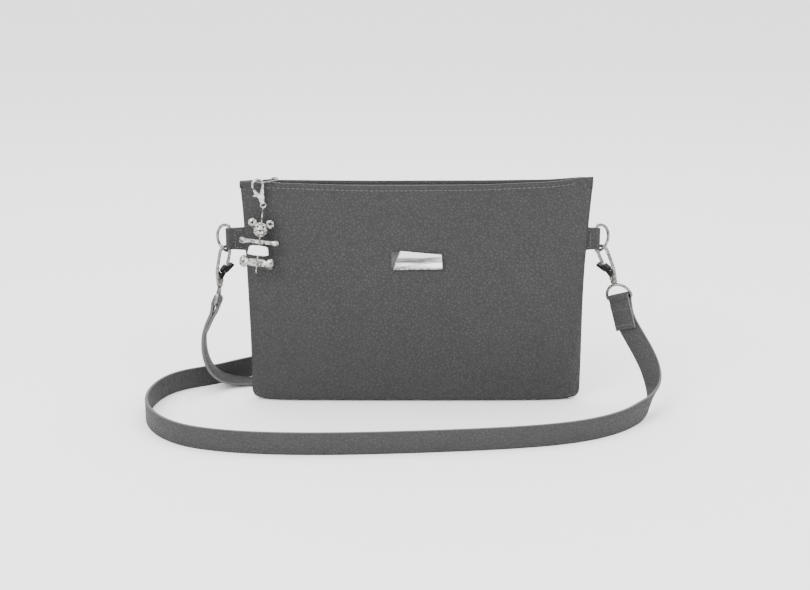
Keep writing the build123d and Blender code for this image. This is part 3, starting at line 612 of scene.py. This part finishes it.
# ---- leather tabs at the sides and at the zip's ends ----
def side_tab(side, sign):
    """A leather strip folded round the ring's bar and stitched down."""
    low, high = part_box(f"side_tab_{side}")
    bar = joint(f"ring_swing_{side}")[0]
    inner_x = sign * min(abs(low.x), abs(high.x))
    radius = EYE + 0.65 * MM
    stretch = abs(bar.x - inner_x)
    outline = [(-stretch, 0.66 * MM), (-stretch * 0.6, 0.68 * MM), (-5.2 * MM, 0.7 * MM),
               (-3.2 * MM, 0.9 * MM)]
    outline += [(radius * cos(radians(a)), radius * sin(radians(a))) for a in range(120, -121, -20)]
    outline += [(x, -y) for x, y in reversed(outline[:4])]
    points = [bar + Vector((sign * x, y, 0)) for x, y in outline]
    ways = along(points)
    shape = Shape()
    rings = []
    upright = Vector((0, 0, 1))
    for at, way in zip(points, ways):
        share = min(1.0, max(0.0, abs(at.x - inner_x) / stretch))
        half = (8.75 * (1 - share) + 7.55 * share) * MM
        rings.append([at + p for p in section(upright, way.cross(upright), half, 0.65 * MM, 0.4 * MM)])
    shape.rings(rings, 0, edge_mark=1, edges=EDGE_SIDES)
    shape.piece(f"side_tab_leather_{side}", "bag", [BAG_LEATHER, BAG_EDGE], "bag_leather",
                [f"side_tab_{side}"])
    seam = Shape()
    for front in (-1, 1):
        face = front * 1.42 * MM
        for height in (-6.3 * MM, 6.3 * MM):
            row = [bar + Vector((sign * -x * MM, face, height)) for x in (4.6, 8.0, 12.0)]
            stitch_row(seam, row, [Vector((0, front, 0))] * 3, 2.0 * MM, 0.5 * MM)
        row = [bar + Vector((sign * -4.3 * MM, face, h * MM)) for h in (-6.0, 0.0, 6.0)]
        stitch_row(seam, row, [Vector((0, front, 0))] * 3, 2.0 * MM, 0.5 * MM)
    seam.piece(f"side_tab_stitches_{side}", "bag", [THREAD], "bag_leather")


def end_tab(side, sign):
    """Folded leather that caps the zip's end, seen just over the panels."""
    low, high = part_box(f"zip_end_tab_{side}")
    middle = (low.x + high.x) / 2 + sign * 3.0 * MM
    half_run = 7.0 * MM
    top, wide = high.z + (0.9 if side == "left" else 1.2) * MM, 2.6 * MM
    shape, rings = Shape(), []
    for k in range(15):
        share = -1 + 2 * k / 14
        x = middle + sign * half_run * share
        crown = top - 0.5 * MM * share * share - (0.8 * MM if side == "left" else 0.2 * MM) * max(0, share)
        ring = []
        for a in range(12):
            angle = pi * a / 11
            ring.append(Vector((x, wide * cos(angle), crown - 1.5 * MM + 1.5 * MM * sin(angle))))
        ring += [Vector((x, -wide * 0.9, low.z)), Vector((x, wide * 0.9, low.z))]
        rings.append(ring)
    shape.rings(rings, 0, edge_mark=1)
    shape.piece(f"zip_end_leather_{side}", "bag", [BAG_LEATHER, BAG_EDGE], "bag_leather",
                [f"zip_end_tab_{side}"])


for side, sign in (("left", -1), ("right", 1)):
    side_tab(side, sign)
    end_tab(side, sign)


# ---- zip coils ----
def coil(name, node):
    """A zip coil: a nylon thread wound along the zip."""
    low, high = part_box(node)
    centre = (low + high) / 2
    margin = 0.28 * MM
    radius_y, radius_z = (high.y - low.y) / 2 - margin, (high.z - low.z) / 2 - margin
    pitch, filament = 1.15 * MM, 0.27 * MM
    turns = int((high.x - low.x - 1 * MM) / pitch)
    shape, rings = Shape(), []
    points = []
    for k in range(turns * 10 + 1):
        angle = tau * k / 10
        points.append(Vector((low.x + 0.5 * MM + pitch * k / 10, centre.y + radius_y * cos(angle),
                              centre.z + radius_z * sin(angle))))
    ways = along(points)
    for at, way in zip(points, ways):
        side_way = way.cross(Vector((1, 0, 0))).normalized()
        other = way.cross(side_way)
        rings.append([at + (side_way * cos(tau * a / 6) + other * sin(tau * a / 6)) * filament
                      for a in range(6)])
    shape.rings(rings)
    shape.piece(name, "bag", [ZIP_NYLON], "zip_nylon", [node])


coil("coil_front", "zip_coil_front")
coil("coil_back", "zip_coil_back")


# ---- snap hooks ----
def lathe(shape, origin, axis, profile, count=28, mark=0):
    """Turned shape: profile gives distance along the axis and radius."""
    first = axis.orthogonal().normalized()
    second = axis.cross(first)
    spokes = [first * cos(tau * k / count) + second * sin(tau * k / count) for k in range(count)]
    shape.rings([[origin + axis * s * MM + spoke * r * MM for spoke in spokes] for s, r in profile], mark)


def smooth_line(points, each=6):
    """Catmull-Rom line through points, each with any number of values."""
    ends = [points[0]] + points + [points[-1]]
    out = []
    for i in range(1, len(ends) - 2):
        for k in range(each):
            t = k / each
            out.append(tuple(
                0.5 * (2 * b + (c - a) * t + (2 * a - 5 * b + 4 * c - d) * t * t
                       + (3 * b - a - 3 * c + d) * t ** 3)
                for a, b, c, d in zip(ends[i - 1], ends[i], ends[i + 1], ends[i + 2])))
    return out + [tuple(points[-1])]


def bar(shape, at, right, up, face, bow):
    """A cast bar along points given as x, y, half width in the plane and half thickness, in mm."""
    stations = smooth_line(bow, 5)
    spots = [at + right * x * MM + up * y * MM for x, y, _, _ in stations]
    rings = []
    for spot, way, (_, _, half, thick) in zip(spots, along(spots), stations):
        over = way.cross(face).normalized()
        rings.append([spot + over * (half * MM * cos(tau * k / 16)) + face * (thick * MM * sin(tau * k / 16))
                      for k in range(16)])
    shape.rings(rings)


def snap_hook(side):
    """The hook's cast body: a long bow, a turned barrel for the swivel and a cheek between them, coloured
    near black as a painted dark reflection.
    """
    hang = joint(f"hook_swing_{side}")[0]
    down = joint(f"swivel_turn_{side}")[1]
    face = joint(f"trigger_press_{side}")[1]
    up = -down
    back = up.cross(face).normalized()
    shape = Shape()
    # along the hook: x towards its back, y up, half width in its plane, half thickness
    bow = [(0.4, -25.2, 2.3, 2.2), (1.6, -22.6, 2.0, 1.9), (3.0, -19.8, 1.25, 1.6), (3.9, -16.5, 1.1, 1.5),
           (4.1, -11.0, 1.05, 1.45), (4.1, -5.0, 1.05, 1.45), (4.0, -1.1, 1.05, 1.4),
           (2.9, 1.75, 1.05, 1.35),
           (0.0, 2.95, 1.1, 1.3), (-2.9, 1.75, 1.05, 1.3), (-4.0, -1.1, 1.05, 1.35), (-4.1, -5.0, 1.05, 1.4),
           (-3.9, -8.6, 1.1, 1.45), (-3.6, -10.9, 1.15, 1.5)]
    bar(shape, hang, back, up, face, bow)
    lathe(shape, hang, down, [(21.6, 0.4), (21.8, 1.7), (22.4, 2.3), (23.4, 2.5), (24.2, 2.15), (25.0, 2.1),
                              (25.5, 2.45), (26.4, 2.5), (27.1, 2.35), (27.45, 1.8), (27.5, 1.15)])
    cheek = [(-0.9, -22.2), (1.5, -22.2), (3.0, -18.6), (2.9, -15.4), (0.6, -18.2), (-2.0, -18.0),
             (-3.1, -16.6)]
    # The cheek takes the second, near black finish: a painted dark reflection.
    shape.rings([[hang + back * x * MM + up * y * MM + face * z * MM for x, y in cheek]
                 for z in (-1.5, 1.5)], 1)
    shape.piece(f"hook_body_{side}", f"hook_{side}", [NICKEL, DARK_REFLECTION_METAL], "nickel", [f"hook_frame_{side}"])


for side in ("left", "right"):
    snap_hook(side)

CLASP_TILT, CLASP_YAW = 14, 20


def clasp():
    """The lobster clasp's cast body: a hooked bow that widens to a neck, with an eye below."""
    at = joint("clasp_swing")[0]
    tilt, yaw = radians(CLASP_TILT), radians(CLASP_YAW)
    right = Vector((cos(tilt) * cos(yaw), cos(tilt) * sin(yaw), sin(tilt)))
    face = Vector((sin(yaw), -cos(yaw), 0))
    up = face.cross(right)
    shape = Shape()
    bar(shape, at, right, up, face, [
        (0, -15.8, 1.3, 0.7), (0, -14.6, 1.75, 0.85), (0.15, -12.6, 2.1, 0.9), (0.8, -10.2, 2.1, 0.95),
        (1.7, -8.0, 1.6, 0.95), (2.7, -5.2, 1.05, 0.9), (3.65, -2.0, 0.8, 0.85), (2.75, 0.75, 0.8, 0.85),
        (0, 1.88, 0.84, 0.85), (-2.75, 0.75, 0.8, 0.85), (-3.7, -1.9, 0.75, 0.8), (-3.75, -3.3, 0.65, 0.7)])
    eye_at = -16.9
    rings = []
    for k in range(24):
        way = right * cos(tau * k / 24) + up * sin(tau * k / 24)
        rings.append([at + up * eye_at * MM + way * (1.8 + 0.55 * cos(tau * a / 10)) * MM
                      + face * 0.52 * sin(tau * a / 10) * MM for a in range(10)])
    shape.rings(rings, loop=True)
    shape.piece("clasp_cast", "clasp", [BRIGHT], "bright_silver", ["clasp_body"])


clasp()


# ---- trim plate ----
TRIM_AT = (0.4, -10.461, 106.8)
PANEL_LEAN = 0.111975       # how far the front panel leans back there, for each mm of height


def trim_plate():
    """A wide ribbon folded over, tapered to the right, with a rolled lip on its left and lower edges."""
    lean = Vector((0, -1, PANEL_LEAN)).normalized()
    up = Vector((0, PANEL_LEAN, 1)).normalized()
    middle = Vector(TRIM_AT) * MM + lean * 1.6 * MM
    corners = [(-16.4, -6.6), (18.0, -6.0), (17.4, 4.0), (-11.4, 6.6)]
    shape = Shape()

    def at(u, v, rise):
        bottom = [a + (b - a) * u for a, b in zip(corners[0], corners[1])]
        top = [a + (b - a) * u for a, b in zip(corners[3], corners[2])]
        x, y = [a + (b - a) * v for a, b in zip(bottom, top)]
        return middle + Vector((x, 0, 0)) * MM + up * y * MM + lean * rise * MM

    rings = []
    for i in range(49):
        u = i / 48
        fold = 0.30 + 0.42 * u
        ring = []
        for k in range(25):
            v = k / 24
            crest = 1.15 * sin(pi * min(1.0, max(0.0, v))) ** 0.6
            crease = 0.75 * exp(-((v - fold) / 0.07) ** 2) * (0.35 + 0.65 * sin(pi * u))
            ridge = 0.45 * exp(-((v - fold + 0.16) / 0.06) ** 2)
            ring.append(at(u, v, 0.15 + crest - crease + ridge))
        ring += [at(u, 1 - k / 6, 0.0) for k in range(7)]
        rings.append(ring)
    shape.rings(rings)
    for ends, thick in ((((0, 0), (0, 1)), 0.55), (((0, 0), (1, 0)), 0.42), (((1, 0), (1, 1)), 0.38)):
        (u0, v0), (u1, v1) = ends
        points = [at(u0 + (u1 - u0) * k / 12, v0 + (v1 - v0) * k / 12, 0.55) for k in range(13)]
        lips = []
        for place, way in zip(points, along(points)):
            side = way.cross(lean).normalized()
            lips.append([place + (side * cos(tau * a / 12) + lean * sin(tau * a / 12)) * thick * MM
                         for a in range(12)])
        shape.rings(lips, 1)
    shape.piece("trim_ribbon", "bag", [STREAKED, BRIGHT], "bright_silver", ["trim_plate"])


trim_plate()

# ---- bear charm ----
pin_at, pin_way = joint("head_turn")
pin_up = -pin_way
pin_right = Vector((1, 0, -pin_way.x / pin_way.z)).normalized()
pin_front = -pin_up.cross(pin_right).normalized()


def on_pin(x, front, up):
    """A point by the pin, in mm to the right, to the front and up it."""
    return pin_at + (pin_right * x + pin_front * front + pin_up * up) * MM


def ball(shape, x, front, up, half, mark=0, power=1.0, count=14):
    """An ellipsoid placed by the pin, with its half sizes in mm."""
    shape.ball(on_pin(x, front, up), pin_right * half[0] * MM, -pin_front * half[1] * MM,
               pin_up * half[2] * MM, mark, power, count)


def bear_head():
    """The cast head with ears, eyes, muzzle, nose and mouth."""
    shape = Shape()
    ball(shape, 0, 0, -15.0, (5.2, 3.5, 5.6), power=0.92, count=20)
    for sign in (-1, 1):
        ball(shape, sign * 6.2, 0, -10.6, (3.0, 1.3, 3.1), power=0.9, count=16)
        ball(shape, sign * 6.3, 0.95, -10.5, (1.15, 0.55, 1.25), 1, count=12)
        ball(shape, sign * 1.9, 3.0, -13.2, (0.85, 0.5, 0.95), 1, count=10)
    ball(shape, 0, 2.7, -16.9, (2.9, 1.7, 2.2), count=16)
    ball(shape, 0, 4.1, -15.9, (1.1, 0.6, 0.75), 1, count=10)
    ball(shape, 0, 4.15, -17.3, (0.16, 0.4, 0.6), 1, count=8)
    shape.piece("bear_head_cast", "head", [ANTIQUE, BLACKENED], "antique_silver", ["bear_head"])


def bear_limbs(name, body, node, low, high, half_long, half_deep, limb):
    """A cast cross bar with a round paw and dark claws at each end. limb is its waist, as a share."""
    shape = Shape()
    middle, half = (low + high) / 2, (high - low) / 2
    paw = [(0.0, 0.25), (0.3, 0.62), (1.1, 0.90), (2.4, 1.0), (3.8, 0.95), (4.9, 0.80), (5.7, limb)]
    profile = [(x - half_long, r) for x, r in paw] + [(-3.2, limb * 1.04), (0.0, limb * 1.12)]
    profile += [(-x, r) for x, r in reversed(profile[:-1])]
    rings = []
    for x, r in profile:
        rings.append([on_pin(x, half_deep * r * cos(tau * k / 24), middle + half * r * sin(tau * k / 24))
                      for k in range(24)])
    shape.rings(rings)
    for sign in (-1, 1):
        for k in (-1, 0, 1):
            ball(shape, sign * (half_long - 0.9), half_deep * 0.86, middle + k * half * 0.52,
                 (1.0, 0.22, 0.2), 1, count=8)
        ball(shape, sign * (half_long + 0.02), 0, middle, (0.18, half_deep * 0.45, half * 0.5), 1, count=10)
    shape.piece(name, body, [ANTIQUE, BLACKENED], "antique_silver", [node])


def bear_bead():
    """Glossy bead, a rounded block that narrows slightly towards the top."""
    shape = Shape()
    rings = []
    for k in range(21):
        share = k / 20
        up = -33.4 + 7.1 * share
        end = (1 - abs(1.96 * share - 0.98) ** 7) ** (1 / 3)
        half_x, half_y = (7.7 - 1.2 * share) * end, (3.4 - 0.45 * share) * end
        rings.append([on_pin(half_x * abs(cos(a)) ** 0.72 * (1 if cos(a) >= 0 else -1),
                             half_y * abs(sin(a)) ** 0.8 * (1 if sin(a) >= 0 else -1), up)
                      for a in (tau * n / 40 for n in range(40))])
    shape.rings(rings)
    shape.piece("bear_bead", "bead", [BEAD], "white_bead", ["bear_body"])


bear_head()
bear_limbs("bear_arms_cast", "arms", "bear_arms", -25.8, -21.4, 14.2, 1.8, 0.72)
bear_bead()
bear_limbs("bear_legs_cast", "legs", "bear_legs", -42.6, -34.0, 12.2, 2.8, 0.62)

# ---- finishes of the carried pieces ----
CARRIED = {
    NICKEL: ["d_ring_left", "d_ring_right", "swivel_loop_left", "swivel_loop_right", "hook_rivet_left",
             "hook_rivet_right", "zip_slider", "zip_pull", "trim_washer"],
    # The triggers take the near black metal of the painted dark reflection.
    DARK_REFLECTION_METAL: ["trigger_left", "trigger_right"],
    SPRING: ["trigger_spring_left", "trigger_spring_right", "clasp_spring"],
    BRIGHT: ["clasp_rivet", "clasp_lever"],
    BASE_SILVER: ["trim_base"],
    ANTIQUE: ["charm_pin"],
    LINING: ["lining_front", "lining_back"],
    ZIP_CLOTH: ["zip_tape_front", "zip_tape_back"],
}
for finish, nodes in CARRIED.items():
    for node in nodes:
        carried = bpy.data.objects[node]
        if not carried.material_slots:
            carried.data.materials.append(finish)
        for place in carried.material_slots:
            place.material = finish

# ---- floor and light ----
def floor():
    shape = Shape()
    shape.add([(-6, -4, 0), (6, -4, 0), (6, 6, 0), (-6, 6, 0)], [(0, 1, 2, 3)])
    mesh = bpy.data.meshes.new("floor")
    mesh.from_pydata(shape.points, [], shape.faces)
    finish = Finish("floor_white", Roughness=0.75)
    finish.feed("Base Color", finish.mix(finish.noise(3.0), grey(0.93), grey(0.95)))
    mesh.materials.append(finish.material)
    made = bpy.data.objects.new("floor", mesh)
    bpy.context.scene.collection.objects.link(made)


def lamp(name, place, size, power, aim=(0, 0, 0.08)):
    """A square soft light that looks at the bag."""
    data = bpy.data.lights.new(name, "AREA")
    data.energy, data.size = power, size
    made = bpy.data.objects.new(name, data)
    made.location = place
    made.rotation_euler = (Vector(aim) - Vector(place)).to_track_quat("-Z", "Y").to_euler()
    bpy.context.scene.collection.objects.link(made)


floor()
lamp("key", (-0.9, -1.1, 1.3), 0.9, 26)
lamp("fill", (1.2, -0.9, 0.9), 1.1, 12)
lamp("top", (0.0, 0.5, 1.6), 1.2, 14)
world = bpy.data.worlds.new("room")
world.use_nodes = True
world.node_tree.nodes["Background"].inputs["Color"].default_value = grey(1.0)
world.node_tree.nodes["Background"].inputs["Strength"].default_value = 2.3
bpy.context.scene.world = world
